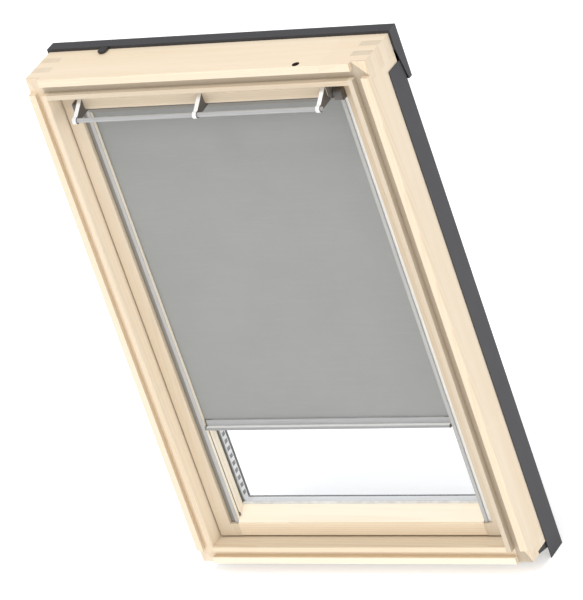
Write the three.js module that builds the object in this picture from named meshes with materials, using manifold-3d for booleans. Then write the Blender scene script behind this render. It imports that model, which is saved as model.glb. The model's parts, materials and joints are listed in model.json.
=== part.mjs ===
// A pine centre-pivot roof window with its blackout roller blind.
// Millimetres. X runs to the right as seen from the room, Y points outdoors and Z up the slope.
// The origin is on the underside of the sill, halfway along it, in the middle of the land before its seal.
// A place is often written as an inset from the outer edge of the frame and a depth from its room face.
import * as THREE from "three";
import { mergeVertices } from "three/addons/utils/BufferGeometryUtils.js";
import Module from "manifold-3d";

const wasm = await Module();
wasm.setup();

// Outer frame
const frameWidth = 660;
const frameHeight = 978;
const frameDepth = 97;
const frameThick = 38;
const lipWidth = 14;
const grooveWidth = 14;
const grooveDepth = 9;
const beadProud = 4;
const lipRound = 2.5;
const beadRound = 2.5;
const arris = 1;

// Comb joint at each frame corner
const combTeeth = 5;
const combStart = 12;
const combEnd = 5;

// Clearances
const seatGap = 0.3;
const sashGap = 3;
const overrun = 5;

// Sash woodwork, placed from the frame's back and from the sash's outer edge
const sashSetBack = 10;
const sashThick = 59;
const sashWidth = 44;
const rebateWidth = 15;
const bevelWidth = 17.5;
const quirkWidth = 1.5;
const quirkDepth = 2;
const sashRound = 2;

// Glazing unit
const paneThick = 4;
const paneGap = 2;
const spacerThick = 14;
const spacerWidth = 6;
const spacerShow = 2;
const gasketThick = 2;
const gasketWidth = 11;

// Sash seal
const sealSetBack = 17;
const sealWidth = 10;
const sealProud = 2;
const sealSunk = 3;

// Covers outdoors
const sheetThick = 1.5;
const coverLap = 35;
const coverStand = 10.5;
const coverReveal = 1.5;
const sideCoverShort = 53;
const coverDrop = 28;
const dripLap = 27;
const hoodStand = 23;
const hoodRise = 5.4;
const hoodFootDrop = 30;
const hoodDrop = 92;
const hoodLipDepth = 10;
const hoodOverhang = 4;
const sashCoverInset = 1.5;
const sashCoverLap = 13.6;
const sashCoverHeight = 14;
const sashCoverLow = 5;
const sashCoverSlope = 9;
const mitreGap = 0.3;

// Small outdoor pieces
const sillSealFace = 32;
const sillSealStop = 29;
const sillSealSunk = 6;
const sillSealDrop = 9;
const clipX = -217;
const clipWidth = 15;
const clipDepth = 18;
const clipThick = 3;
const clipLift = 2.2;
const clipRound = 6;
const keyholeX = 199;
const keyholeDepthPlace = 10;
const keyholeRadius = 6.5;
const keyholeSunk = 10;

// Pivot hinges at half height
const pivotSetBack = 27;
const pivotPlateHeight = 70;
const pivotPlateDepth = 50;
const pivotPlateThick = 3;
const pivotPinRadius = 8;
const pivotPinReach = 11;
const pivotBossRadius = 12;
const pivotBossLength = 12;
const pivotFloor = 2;
const pivotClearance = 0.3;

// Flap along the head with its control bar
const flapEndGap = 4;
const flapDrop = 1;
const flapHeight = 24;
const flapThick = 17;
const flapRound = 8;
const flapTopRound = 3;
const carrierThick = 2;
const carrierLip = 3;
const flapEndThick = 3;
const flapAxisSunk = 14;
const flapPinRadius = 2.5;
const flapPinLength = 9;
const flapSealHeight = 5;
const flapSealThick = 0.7;
const barDrop = 1;
const barReach = 30;
const barRadius = 4;
const barTail = 2;
const armFromEnd = 4.5;
const armThick = 8;
const armWaist = 4.5;

// Bearing blocks that carry the flap
const bearingRise = 10;
const bearingFall = 9;
const bearingFront = 7;
const bearingRound = 4;

// Blind casing and its brackets
const casingSunk = 2;
const casingDepth = 26;
const casingHeight = 26.5;
const casingShow = 0.5;
const casingWall = 1.2;
const casingStep = 4;
const casingRound = 3;
const bracketRise = 3;
const bracketHeight = 22;

// Guide rails
const railWidth = 16.5;
const railSunk = 4;
const railThick = 18;
const railDrop = 2;
const railRidge = 7.5;
const railStep = 2.5;
const railSlitDepth = 11;
const railSlitWidth = 2;
const railWall = 2;
const railRound = 1.2;
const stopHeight = 16;
const stopNoseLift = 10;
const stopNoseReach = 3;

// Roller with the balance spring inside
const rollerDrop = 10.8;
const tubeRadius = 7.5;
const tubeWall = 0.9;
const rollRadius = 8.8;
const fabricInRail = 8;
const rollEndGap = 6;
const plugLength = 14;
const plugFlange = 1.5;
const plugPinRadius = 2;
const plugPinLength = 6;
const rodRadius = 1.5;
const rodLength = 260;
const springRadius = 4.4;
const springWire = 0.9;
const springPitch = 9;
const springTurns = 20;
const springSeatLength = 18;

// Fabric and pull bar, placed from the fabric's middle plane
const fabricSunk = 13;
const fabricThick = 0.5;
const slotFront = 3.5;
const slotRear = 4;
const barFootZ = 257.5;
const barHeight = 17.5;
const barLedgeHeight = 6;
const barLedgeReach = 11;
const barRound = 2.8;
const barEndGap = 2;
const shoeThick = 1.4;
const shoeReach = 9;
const shoePlug = 12;
const shoeHeight = 14;

// Lock in the top rail
const caseHalf = 30;
const caseHeight = 12;
const caseDepth = 15;
const caseSealGap = 3;
const boltHalf = 8;
const boltSunk = 4;
const boltThick = 8;
const boltProud = 2.6;
const boltLength = 9;
const strikerHalf = 24;
const strikerThick = 1.2;
const strikerLap = 6;

// How finely round faces are cut
const arcSteps = 4;
const roundSides = 28;
const smallSides = 16;

// Finishes
function finish(colour, roughness, metalness) {
  return new THREE.MeshStandardMaterial({ color: colour, roughness, metalness });
}
const pine = finish(0xf0ddc0, 0.6, 0);
const lacquered = finish(0x55555c, 0.45, 0.6);
const satinMetal = finish(0xc6c5c2, 0.35, 0.9);
const darkPlastic = finish(0x6a6664, 0.6, 0);
const blackRubber = finish(0x1c1c1d, 0.8, 0);
const steel = finish(0x9a9da0, 0.4, 0.9);
const clearGlass = finish(0xe8f3f4, 0.05, 0);
const greyCloth = finish(0xa2a4a1, 0.9, 0);

// Derived places in the width and height, as insets from the outer edge of the frame
const halfWidth = frameWidth / 2;
const innerGroove = lipWidth + grooveWidth;
const sashInset = frameThick + sashGap;
const sightInset = sashInset + sashWidth;
const rebateInset = sightInset - rebateWidth;
const bevelInset = sightInset - bevelWidth;
const paneInset = rebateInset + paneGap;
const spacerInset = sightInset + spacerShow;
const sashCoverInner = sightInset + sashCoverLap;
const sashCoverCrest = sightInset - sashCoverSlope;
const flapTop = sashInset + flapDrop;
const flapFoot = flapTop + flapHeight;
const carrierTop = flapTop + arris;
const carrierFoot = flapFoot + carrierLip;
const bearingTop = flapFoot - bearingRise;
const bearingFoot = flapFoot + bearingFall;
const barInset = flapFoot + barDrop;
const casingFoot = sightInset + casingShow;
const casingTop = casingFoot - casingHeight;
const bracketTop = casingTop - bracketRise;
const bracketFoot = bracketTop + bracketHeight;
const rollerInset = casingTop + rollerDrop;
const railInset = sightInset - railWidth;
const railFoot = bevelInset - railDrop;
const pivotZ = frameHeight / 2;
const sashTopZ = frameHeight - sashInset;
const fabricHalf = halfWidth - sightInset + fabricInRail;
const flapHalf = halfWidth - sightInset - flapEndGap;
const armHalf = flapHalf - armFromEnd;
const barHalf = armHalf + armThick / 2 + barTail;
const hoodTop = frameHeight + hoodRise;
const hoodLipZ = frameHeight - hoodDrop;

// Derived depths from the room face of the frame
const originDepth = sillSealFace / 2;
const sillSealBack = frameDepth - sillSealStop;
const sideCoverFace = frameDepth - coverLap;
const coverBack = frameDepth + coverStand;
const dripFace = frameDepth - dripLap;
const hoodBack = frameDepth + hoodStand;
const sashBack = frameDepth - sashSetBack;
const sashFace = sashBack - sashThick;
const outerGasketFace = sashBack - gasketThick;
const outerPaneFace = outerGasketFace - paneThick;
const spacerFace = outerPaneFace - spacerThick;
const innerPaneFace = spacerFace - paneThick;
const rebateFace = innerPaneFace - gasketThick;
const sealFace = sashBack - sealSetBack;
const pivotDepth = sashBack - pivotSetBack;
const flapFace = sashFace - flapSealThick - carrierThick - seatGap - flapThick;
const flapAxisDepth = flapFace + flapAxisSunk;
const bearingFace = flapAxisDepth - bearingFront;
const barDepth = flapFace - barReach;
const casingFace = sashFace + casingSunk;
const casingBack = casingFace + casingDepth;
const railFace = sashFace + railSunk;
const railBack = railFace + railThick;
const rollerDepth = (casingFace + casingBack) / 2;
const fabricDepth = sashFace + fabricSunk;
const slotFace = fabricDepth - slotFront;
const slotBack = fabricDepth + slotRear;
const barLedgeFace = fabricDepth - barLedgeReach;
const caseBack = sealFace - caseSealGap;
const caseFace = caseBack - caseDepth;
const boltFace = caseFace + boltSunk;
const boltBack = boltFace + boltThick;
const strikerFace = caseFace - strikerLap;
const strikerBack = caseBack + strikerLap;

// Depth from the room face of the frame to Y
function yAt(depth) {
  return depth - originDepth;
}

// Inset below the top of the frame to Z
function zBelow(inset) {
  return frameHeight - inset;
}

// Inset from the outer edge to X, on side -1 for left or 1 for right
function xAt(side, inset) {
  return side * (halfWidth - inset);
}

// Solids from geometry
function toSolid(geometry) {
  const plain = geometry.index ? geometry.toNonIndexed() : geometry.clone();
  plain.deleteAttribute("normal");
  plain.deleteAttribute("uv");
  const merged = mergeVertices(plain, 1e-4);
  const made = new wasm.Manifold(
    new wasm.Mesh({
      numProp: 3,
      vertProperties: merged.attributes.position.array,
      triVerts: new Uint32Array(merged.index.array),
    }),
  );
  return made;
}

function toGeometry(solid) {
  const { vertProperties, triVerts } = solid.getMesh();
  const geometry = new THREE.BufferGeometry();
  geometry.setAttribute("position", new THREE.BufferAttribute(new Float32Array(vertProperties), 3));
  geometry.setIndex(new THREE.BufferAttribute(new Uint32Array(triVerts), 1));
  const flat = geometry.toNonIndexed();
  flat.computeVertexNormals();
  return flat;
}

// A box between two corners
function block(x0, x1, y0, y1, z0, z1) {
  const geometry = new THREE.BoxGeometry(Math.abs(x1 - x0), Math.abs(y1 - y0), Math.abs(z1 - z0));
  geometry.translate((x0 + x1) / 2, (y0 + y1) / 2, (z0 + z1) / 2);
  return toSolid(geometry);
}

// A box written as X, depth and Z
function slab(x0, x1, depth0, depth1, z0, z1) {
  return block(x0, x1, yAt(depth0), yAt(depth1), z0, z1);
}

// A closed outline from corners [a, b, radius], with round corners as arcs
function rounded(corners) {
  const points = [];
  corners.forEach(([a, b, radius = 0], i) => {
    const here = new THREE.Vector2(a, b);
    if (radius <= 0) {
      points.push(here);
      return;
    }
    const before = corners[(i + corners.length - 1) % corners.length];
    const after = corners[(i + 1) % corners.length];
    const toBefore = new THREE.Vector2(before[0] - a, before[1] - b).normalize();
    const toAfter = new THREE.Vector2(after[0] - a, after[1] - b).normalize();
    const half = Math.acos(THREE.MathUtils.clamp(toBefore.dot(toAfter), -1, 1)) / 2;
    const reach = radius / Math.tan(half);
    const from = here.clone().addScaledVector(toBefore, reach);
    const to = here.clone().addScaledVector(toAfter, reach);
    const toCentre = toBefore.clone().add(toAfter).normalize();
    const centre = here.clone().addScaledVector(toCentre, radius / Math.sin(half));
    const start = from.clone().sub(centre);
    const turn = Math.PI - 2 * half;
    const sign = Math.sign(start.cross(to.clone().sub(centre)));
    for (let k = 0; k <= arcSteps; k++) {
      const angle = (sign * turn * k) / arcSteps;
      points.push(start.clone().rotateAround(new THREE.Vector2(0, 0), angle).add(centre));
    }
  });
  return points;
}

// A thin bent sheet: the path is its outer face and the sheet lies to the given side of it
function bentSheet(path, thick) {
  const points = path.map(([a, b]) => new THREE.Vector2(a, b));
  const normals = points.slice(1).map((point, i) => {
    const along = point.clone().sub(points[i]).normalize();
    return new THREE.Vector2(-along.y, along.x);
  });
  const inner = points.map((point, i) => {
    const before = normals[Math.max(i - 1, 0)];
    const after = normals[Math.min(i, normals.length - 1)];
    const mean = before.clone().add(after).normalize();
    return point.clone().addScaledVector(mean, thick / mean.dot(after));
  });
  return points.concat(inner.reverse());
}

// An outline extruded, with its own two directions and the direction of its length
function extruded(points, length, matrix) {
  const outline = THREE.ShapeUtils.isClockWise(points) ? points.slice().reverse() : points;
  const shape = new THREE.Shape(outline);
  const geometry = new THREE.ExtrudeGeometry(shape, { depth: length, bevelEnabled: false });
  geometry.applyMatrix4(matrix);
  return toSolid(geometry);
}

const axisX = new THREE.Vector3(1, 0, 0);
const axisY = new THREE.Vector3(0, 1, 0);
const axisZ = new THREE.Vector3(0, 0, 1);

// An outline in Y and Z, extruded from x0 to x1
function alongX(points, x0, x1) {
  const matrix = new THREE.Matrix4().makeBasis(axisY, axisZ, axisX).setPosition(x0, 0, 0);
  return extruded(points, x1 - x0, matrix);
}

// An outline in X and Y, extruded from z0 to z1
function alongZ(points, z0, z1) {
  const matrix = new THREE.Matrix4().makeBasis(axisX, axisY, axisZ).setPosition(0, 0, z0);
  return extruded(points, z1 - z0, matrix);
}

// Outline corners written as inset and depth, for a member of one side of the window
function sideOutline(side, corners) {
  return rounded(corners.map(([inset, depth, radius]) => [xAt(side, inset), yAt(depth), radius]));
}

function topOutline(corners) {
  return rounded(corners.map(([inset, depth, radius]) => [yAt(depth), zBelow(inset), radius]));
}

function footOutline(corners) {
  return rounded(corners.map(([inset, depth, radius]) => [yAt(depth), inset, radius]));
}

// A round rod between two X places
function rodX(radius, x0, x1, depth, z, sides = roundSides) {
  const geometry = new THREE.CylinderGeometry(radius, radius, x1 - x0, sides);
  geometry.rotateZ(Math.PI / 2);
  geometry.translate((x0 + x1) / 2, yAt(depth), z);
  return toSolid(geometry);
}

// A rectangular ring round the whole window from an outline of [inset, depth]
function windowRing(corners) {
  const outline = rounded(corners);
  const turned = THREE.ShapeUtils.isClockWise(outline) ? outline : outline.slice().reverse();
  const positions = [];
  const index = [];
  const signs = [[-1, 0], [1, 0], [1, 1], [-1, 1]];
  for (const [sideX, atTop] of signs) {
    for (const point of turned) {
      const x = sideX * (halfWidth - point.x);
      const z = atTop ? frameHeight - point.x : point.x;
      positions.push(x, yAt(point.y), z);
    }
  }
  const count = turned.length;
  for (let corner = 0; corner < signs.length; corner++) {
    const next = (corner + 1) % signs.length;
    for (let k = 0; k < count; k++) {
      const m = (k + 1) % count;
      const a = corner * count + k;
      const b = corner * count + m;
      const c = next * count + m;
      const d = next * count + k;
      index.push(a, b, c, a, c, d);
    }
  }
  const geometry = new THREE.BufferGeometry();
  geometry.setAttribute("position", new THREE.BufferAttribute(new Float32Array(positions), 3));
  geometry.setIndex(index);
  return toSolid(geometry);
}

// The group that the object is built into
const roofWindow = new THREE.Group();

function addPiece(name, solid, material) {
  const mesh = new THREE.Mesh(toGeometry(solid), material);
  mesh.name = name;
  roofWindow.add(mesh);
}

const sides = [
  ["left", -1],
  ["right", 1],
];

// Frame: four pine members combed together at the corners, where the lip is cut back to the groove
function buildFrame() {
  const ring = windowRing([
    [0, 0, lipRound],
    [lipWidth, 0, arris],
    [lipWidth, grooveDepth],
    [innerGroove, grooveDepth],
    [innerGroove, -beadProud, arris],
    [frameThick, -beadProud, beadRound],
    [frameThick, frameDepth],
    [0, frameDepth],
  ]);
  const toothDepth = (frameDepth - combStart - combEnd) / combTeeth;
  const innerX = halfWidth - frameThick;
  const low = -beadProud - overrun;
  const high = frameDepth + overrun;

  // The head and the sill, each with its Z range and the Z range of its lip and groove
  const grooveFoot = innerGroove - seatGap;
  const across = [
    ["frame_head", zBelow(frameThick), frameHeight + overrun, zBelow(grooveFoot), frameHeight + overrun],
    ["frame_sill", -overrun, frameThick, -overrun, grooveFoot],
  ];

  // Teeth of the head or the sill that reach out through one jamb, with the end of its lip and groove
  function combThrough(side, [, zLow, zHigh, grooveLow, grooveHigh]) {
    const lipEnd = halfWidth - innerGroove;
    let teeth = slab(side * innerX, side * lipEnd, low, combStart, grooveLow, grooveHigh);
    for (let i = 0; i < combTeeth; i += 2) {
      const from = combStart + i * toothDepth;
      const to = i === combTeeth - 1 ? high : from + toothDepth;
      teeth = teeth.add(slab(side * innerX, side * (halfWidth + overrun), from, to, zLow, zHigh));
    }
    return teeth;
  }

  const keyhole = new THREE.CylinderGeometry(keyholeRadius, keyholeRadius, keyholeSunk * 2, smallSides);
  keyhole.rotateX(Math.PI / 2);
  keyhole.translate(keyholeX, yAt(keyholeDepthPlace), frameHeight);
  const sealGroove = slab(
    -halfWidth - overrun,
    halfWidth + overrun,
    sillSealFace,
    sillSealBack,
    -overrun,
    sillSealSunk,
  );
  const strikerPocket = slab(
    -strikerHalf - seatGap,
    strikerHalf + seatGap,
    strikerFace - seatGap,
    strikerBack + seatGap,
    zBelow(frameThick) - overrun,
    zBelow(frameThick) + strikerThick + seatGap,
  );

  for (const part of across) {
    const [name, zLow, zHigh] = part;
    const middle = slab(-innerX, innerX, low, high, zLow, zHigh);
    const reach = middle.add(combThrough(-1, part)).add(combThrough(1, part));
    let member = ring.intersect(reach);
    if (name === "frame_head") {
      member = member.subtract(toSolid(keyhole)).subtract(strikerPocket);
    } else {
      member = member.subtract(sealGroove);
    }
    addPiece(name, member, pine);
  }

  for (const [name, side] of sides) {
    const outerX = halfWidth + overrun;
    const column = slab(side * innerX, side * outerX, low, high, -overrun, frameHeight + overrun);
    const platePocket = slab(
      side * (innerX - overrun),
      side * (innerX + pivotPlateThick + seatGap),
      pivotDepth - pivotPlateDepth / 2 - seatGap,
      pivotDepth + pivotPlateDepth / 2 + seatGap,
      pivotZ - pivotPlateHeight / 2 - seatGap,
      pivotZ + pivotPlateHeight / 2 + seatGap,
    );
    const bossEnd = innerX + pivotPlateThick + pivotBossLength + seatGap;
    const bossHole = rodX(
      pivotBossRadius + seatGap,
      side > 0 ? innerX : -bossEnd,
      side > 0 ? bossEnd : -innerX,
      pivotDepth,
      pivotZ,
    );
    let member = ring.intersect(column).subtract(platePocket).subtract(bossHole).subtract(sealGroove);
    for (const part of across) {
      const [, , , grooveLow, grooveHigh] = part;
      const lipEnd = side * (halfWidth - innerGroove);
      const cornerCut = slab(lipEnd, side * outerX, low, grooveDepth, grooveLow, grooveHigh);
      member = member.subtract(combThrough(side, part)).subtract(cornerCut);
    }
    addPiece(`frame_jamb_${name}`, member, pine);
  }

  const strikerZ = zBelow(frameThick);
  const strikerMouth = slab(
    -boltHalf - sashGap,
    boltHalf + sashGap,
    boltFace - sashGap,
    boltBack + sashGap,
    strikerZ - overrun,
    strikerZ + strikerThick + overrun,
  );
  const strikerTop = strikerZ + strikerThick;
  const striker = slab(-strikerHalf, strikerHalf, strikerFace, strikerBack, strikerZ, strikerTop);
  addPiece("striker_plate", striker.subtract(strikerMouth), steel);
}

// Covers of folded metal on the weather side of the frame
function buildFrameCovers() {
  const coverInner = frameThick - coverReveal;
  for (const [name, side] of sides) {
    const outline = bentSheet(
      [
        [side * (halfWidth + seatGap + sheetThick), yAt(sideCoverFace)],
        [side * (halfWidth + seatGap + sheetThick), yAt(coverBack)],
        [xAt(side, coverInner), yAt(coverBack)],
        [xAt(side, coverInner), yAt(frameDepth + seatGap)],
      ],
      side * sheetThick,
    );
    addPiece(`side_cover_${name}`, alongZ(outline, -coverDrop, zBelow(sideCoverShort)), lacquered);
  }

  const sillOutline = bentSheet(
    [
      [yAt(dripFace), -coverDrop],
      [yAt(coverBack), -coverDrop],
      [yAt(coverBack), coverInner],
      [yAt(frameDepth + seatGap), coverInner],
    ],
    sheetThick,
  );
  const sillHalf = halfWidth - coverInner - seatGap;
  addPiece("sill_cover", alongX(sillOutline, -sillHalf, sillHalf), lacquered);

  const hoodHalf = halfWidth + hoodOverhang;
  const hoodPath = [
    [yAt(frameDepth + seatGap), zBelow(hoodFootDrop)],
    [yAt(frameDepth + seatGap), hoodTop],
    [yAt(hoodBack), hoodTop],
    [yAt(hoodBack), hoodLipZ],
    [yAt(hoodBack - hoodLipDepth), hoodLipZ],
  ];
  const hoodSheet = alongX(bentSheet(hoodPath, -sheetThick), -hoodHalf, hoodHalf);
  const endOutline = rounded([
    [yAt(frameDepth + seatGap), hoodTop],
    [yAt(hoodBack), hoodTop],
    [yAt(hoodBack), hoodLipZ],
    [yAt(hoodBack - hoodLipDepth), hoodLipZ],
    [yAt(frameDepth + seatGap), zBelow(hoodFootDrop)],
  ]);
  const endLeft = alongX(endOutline, -hoodHalf, -hoodHalf + sheetThick);
  const endRight = alongX(endOutline, hoodHalf - sheetThick, hoodHalf);
  addPiece("hood", hoodSheet.add(endLeft).add(endRight), lacquered);

  const sillSealOutline = rounded([
    [yAt(sillSealFace + seatGap), sillSealSunk - seatGap],
    [yAt(sillSealFace + seatGap), -arris / 2],
    [yAt(sillSealBack - seatGap), -sillSealDrop],
    [yAt(sillSealBack - seatGap), sillSealSunk - seatGap],
  ]);
  addPiece("sill_seal", alongX(sillSealOutline, arris - halfWidth, halfWidth - arris), blackRubber);

  const clipOutline = rounded([
    [clipX - clipWidth / 2, yAt(frameDepth)],
    [clipX - clipWidth / 2, yAt(frameDepth - clipDepth), clipRound],
    [clipX + clipWidth / 2, yAt(frameDepth - clipDepth), clipRound],
    [clipX + clipWidth / 2, yAt(frameDepth)],
  ]);
  const clipSeat = frameHeight + clipLift;
  addPiece("cover_clip", alongZ(clipOutline, clipSeat, clipSeat + clipThick), blackRubber);
}

// Pivot hinges: a plate with a bored boss in each jamb, a plate with a pin in each stile
function buildPivots() {
  const plateLow = pivotZ - pivotPlateHeight / 2;
  const plateHigh = pivotZ + pivotPlateHeight / 2;
  const plateFace = pivotDepth - pivotPlateDepth / 2;
  const plateBack = pivotDepth + pivotPlateDepth / 2;
  for (const [name, side] of sides) {
    const reveal = halfWidth - frameThick;
    const bossEnd = reveal + pivotPlateThick + pivotBossLength;
    const spanX = (from, to) => (side > 0 ? [from, to] : [-to, -from]);
    const seatX = reveal + pivotPlateThick;
    const plate = slab(side * reveal, side * seatX, plateFace, plateBack, plateLow, plateHigh);
    const boss = rodX(pivotBossRadius, ...spanX(reveal + arris, bossEnd), pivotDepth, pivotZ);
    const bore = rodX(
      pivotPinRadius + pivotClearance,
      ...spanX(reveal - overrun, bossEnd - pivotFloor),
      pivotDepth,
      pivotZ,
    );
    addPiece(`pivot_socket_${name}`, plate.add(boss).subtract(bore), steel);

    const stileFace = halfWidth - sashInset;
    const sashPlate = slab(
      side * (stileFace - pivotPlateThick),
      side * stileFace,
      plateFace + arris,
      plateBack - arris,
      plateLow + arris,
      plateHigh - arris,
    );
    const pin = rodX(
      pivotPinRadius,
      ...spanX(stileFace - arris, reveal + pivotPinReach),
      pivotDepth,
      pivotZ,
    );
    addPiece(`pivot_arm_${name}`, sashPlate.add(pin), steel);
  }
}

// Sash: two stiles with the rails between them
function buildSash() {
  const groove = windowRing([
    [sashInset - overrun, sealFace - seatGap],
    [sashInset + sealSunk + seatGap, sealFace - seatGap],
    [sashInset + sealSunk + seatGap, sealFace + sealWidth + seatGap],
    [sashInset - overrun, sealFace + sealWidth + seatGap],
  ]);
  const stileX = halfWidth - sashInset;
  const sightX = halfWidth - sightInset;
  const railX = halfWidth - railInset;
  for (const [name, side] of sides) {
    const wood = alongZ(
      sideOutline(side, [
        [sashInset, sashFace, sashRound],
        [sightInset, sashFace, arris],
        [sightInset, rebateFace],
        [rebateInset, rebateFace],
        [rebateInset, sashBack],
        [sashInset, sashBack, arris],
      ]),
      sashInset,
      sashTopZ,
    );
    const railPocket = slab(
      side * (sightX - overrun),
      side * (railX + seatGap),
      sashFace - overrun,
      railBack + seatGap,
      railFoot - seatGap,
      zBelow(bracketTop - seatGap),
    );
    const bracketPocket = slab(
      side * (sightX - overrun),
      side * (railX + seatGap),
      sashFace - overrun,
      casingBack + seatGap,
      zBelow(bracketFoot + seatGap),
      zBelow(bracketTop - seatGap),
    );
    const platePocket = slab(
      side * (stileX - pivotPlateThick - seatGap),
      side * (stileX + overrun),
      pivotDepth - pivotPlateDepth / 2,
      pivotDepth + pivotPlateDepth / 2,
      pivotZ - pivotPlateHeight / 2,
      pivotZ + pivotPlateHeight / 2,
    );
    addPiece(
      `sash_stile_${name}`,
      wood.subtract(railPocket).subtract(bracketPocket).subtract(platePocket).subtract(groove),
      pine,
    );
  }

  const foot = alongX(
    footOutline([
      [sashInset, sashFace, sashRound],
      [bevelInset - quirkWidth, sashFace, arris / 2],
      [bevelInset - quirkWidth, sashFace + quirkDepth],
      [bevelInset, sashFace + quirkDepth],
      [sightInset, rebateFace],
      [rebateInset, rebateFace],
      [rebateInset, sashBack],
      [sashInset, sashBack, arris],
    ]),
    -sightX,
    sightX,
  );
  addPiece("sash_bottom_rail", foot.subtract(groove), pine);

  const head = alongX(
    topOutline([
      [sashInset, sashFace, sashRound],
      [casingTop - seatGap, sashFace, arris],
      [casingTop - seatGap, casingBack + seatGap],
      [sightInset, casingBack + seatGap],
      [sightInset, rebateFace],
      [rebateInset, rebateFace],
      [rebateInset, sashBack],
      [sashInset, sashBack, arris],
    ]),
    -sightX,
    sightX,
  );
  const casePocket = slab(
    -caseHalf - seatGap,
    caseHalf + seatGap,
    caseFace - seatGap,
    caseBack + seatGap,
    sashTopZ - caseHeight - seatGap,
    sashTopZ + overrun,
  );
  addPiece("sash_top_rail", head.subtract(groove).subtract(casePocket), pine);
}

// Seals round the sash, stopped at the pivot plates
function buildSashSeals() {
  const ring = windowRing([
    [sashInset - sealProud, sealFace, arris],
    [sashInset + sealSunk, sealFace],
    [sashInset + sealSunk, sealFace + sealWidth],
    [sashInset - sealProud, sealFace + sealWidth, arris],
  ]);
  const stop = pivotPlateHeight / 2 + sashGap;
  const wide = halfWidth + overrun;
  const before = sealFace - overrun;
  const behind = sealFace + sealWidth + overrun;
  const upper = slab(-wide, wide, before, behind, pivotZ + stop, frameHeight);
  const lower = slab(-wide, wide, before, behind, 0, pivotZ - stop);
  addPiece("sash_seal_upper", ring.intersect(upper), blackRubber);
  addPiece("sash_seal_lower", ring.intersect(lower), blackRubber);
}

// Glazing: two panes with a spacer between them, gaskets inside and out
function buildGlazing() {
  const paneX = halfWidth - paneInset;
  for (const [name, face] of [
    ["inner_pane", innerPaneFace],
    ["outer_pane", outerPaneFace],
  ]) {
    const shrink = seatGap / 3;
    addPiece(
      name,
      slab(-paneX, paneX, face + shrink, face + paneThick - shrink, paneInset, zBelow(paneInset)),
      clearGlass,
    );
  }
  addPiece(
    "glass_spacer",
    windowRing([
      [spacerInset - spacerWidth, spacerFace],
      [spacerInset, spacerFace],
      [spacerInset, spacerFace + spacerThick],
      [spacerInset - spacerWidth, spacerFace + spacerThick],
    ]),
    satinMetal,
  );
  for (const [name, face] of [
    ["inner_gasket", rebateFace],
    ["outer_gasket", outerGasketFace],
  ]) {
    const innerEdge = sightInset + gasketThick;
    addPiece(
      name,
      windowRing([
        [innerEdge - gasketWidth, face],
        [innerEdge, face, gasketThick / 4],
        [innerEdge, face + gasketThick],
        [innerEdge - gasketWidth, face + gasketThick],
      ]),
      blackRubber,
    );
  }
}

// Folded covers on the weather side of the sash, mitred at the corners
function buildSashCovers() {
  const outer = sashInset + sashCoverInset;
  const seat = outerGasketFace + gasketThick + seatGap;
  const back = seat + sashCoverHeight;
  const lowBack = seat + sashCoverLow;
  const path = [
    [outer, seat],
    [outer, back],
    [sashCoverCrest, back],
    [sashCoverInner, lowBack],
    [sashCoverInner, seat],
  ];
  const ring = windowRing(bentSheet(path, -sheetThick).map((point) => [point.x, point.y]));
  const reach = halfWidth - overrun;
  const gap = mitreGap;
  const low = yAt(sashFace);
  const high = yAt(hoodBack);

  // The part of the window nearest to one edge, as an outline in X and Z
  const nearFoot = [gap, reach + gap];
  const nearHead = [frameHeight - gap, frameHeight - reach - gap];
  const tipFoot = halfWidth - gap * 2;
  const tipHead = frameHeight - tipFoot;
  const sideRegion = (side) => [
    [side * halfWidth, nearFoot[0]],
    [side * (halfWidth - reach), nearFoot[1]],
    [side * (halfWidth - reach), nearHead[1]],
    [side * halfWidth, nearHead[0]],
  ];
  const endRegion = (z, tipZ) => [
    [-halfWidth + gap, z],
    [halfWidth - gap, z],
    [gap, tipZ],
    [-gap, tipZ],
  ];
  const regions = {
    left: sideRegion(-1),
    right: sideRegion(1),
    bottom: endRegion(0, tipFoot),
    top: endRegion(frameHeight, tipHead),
  };
  for (const [name, region] of Object.entries(regions)) {
    const outline = region.map(([x, z]) => new THREE.Vector2(x, -z));
    const matrix = new THREE.Matrix4()
      .makeBasis(axisX, axisZ.clone().negate(), axisY)
      .setPosition(0, low, 0);
    addPiece(`sash_cover_${name}`, ring.intersect(extruded(outline, high - low, matrix)), lacquered);
  }
}

// Lock: a case let into the top rail, with a bolt that the control bar draws down
function buildLock() {
  const top = sashTopZ;
  const slot = slab(
    -boltHalf - seatGap,
    boltHalf + seatGap,
    boltFace - seatGap,
    boltBack + seatGap,
    top - caseHeight - overrun,
    top + overrun,
  );
  const housing = slab(-caseHalf, caseHalf, caseFace, caseBack, top - caseHeight, top).subtract(slot);
  addPiece("lock_case", housing, steel);
  const bolt = alongX(
    rounded([
      [yAt(boltFace), top + boltProud - boltLength],
      [yAt(boltFace), top + boltProud, arris],
      [yAt(boltBack), top + boltProud, arris],
      [yAt(boltBack), top + boltProud - boltLength],
    ]),
    -boltHalf,
    boltHalf,
  );
  addPiece("latch_bolt", bolt, steel);
}

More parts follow.
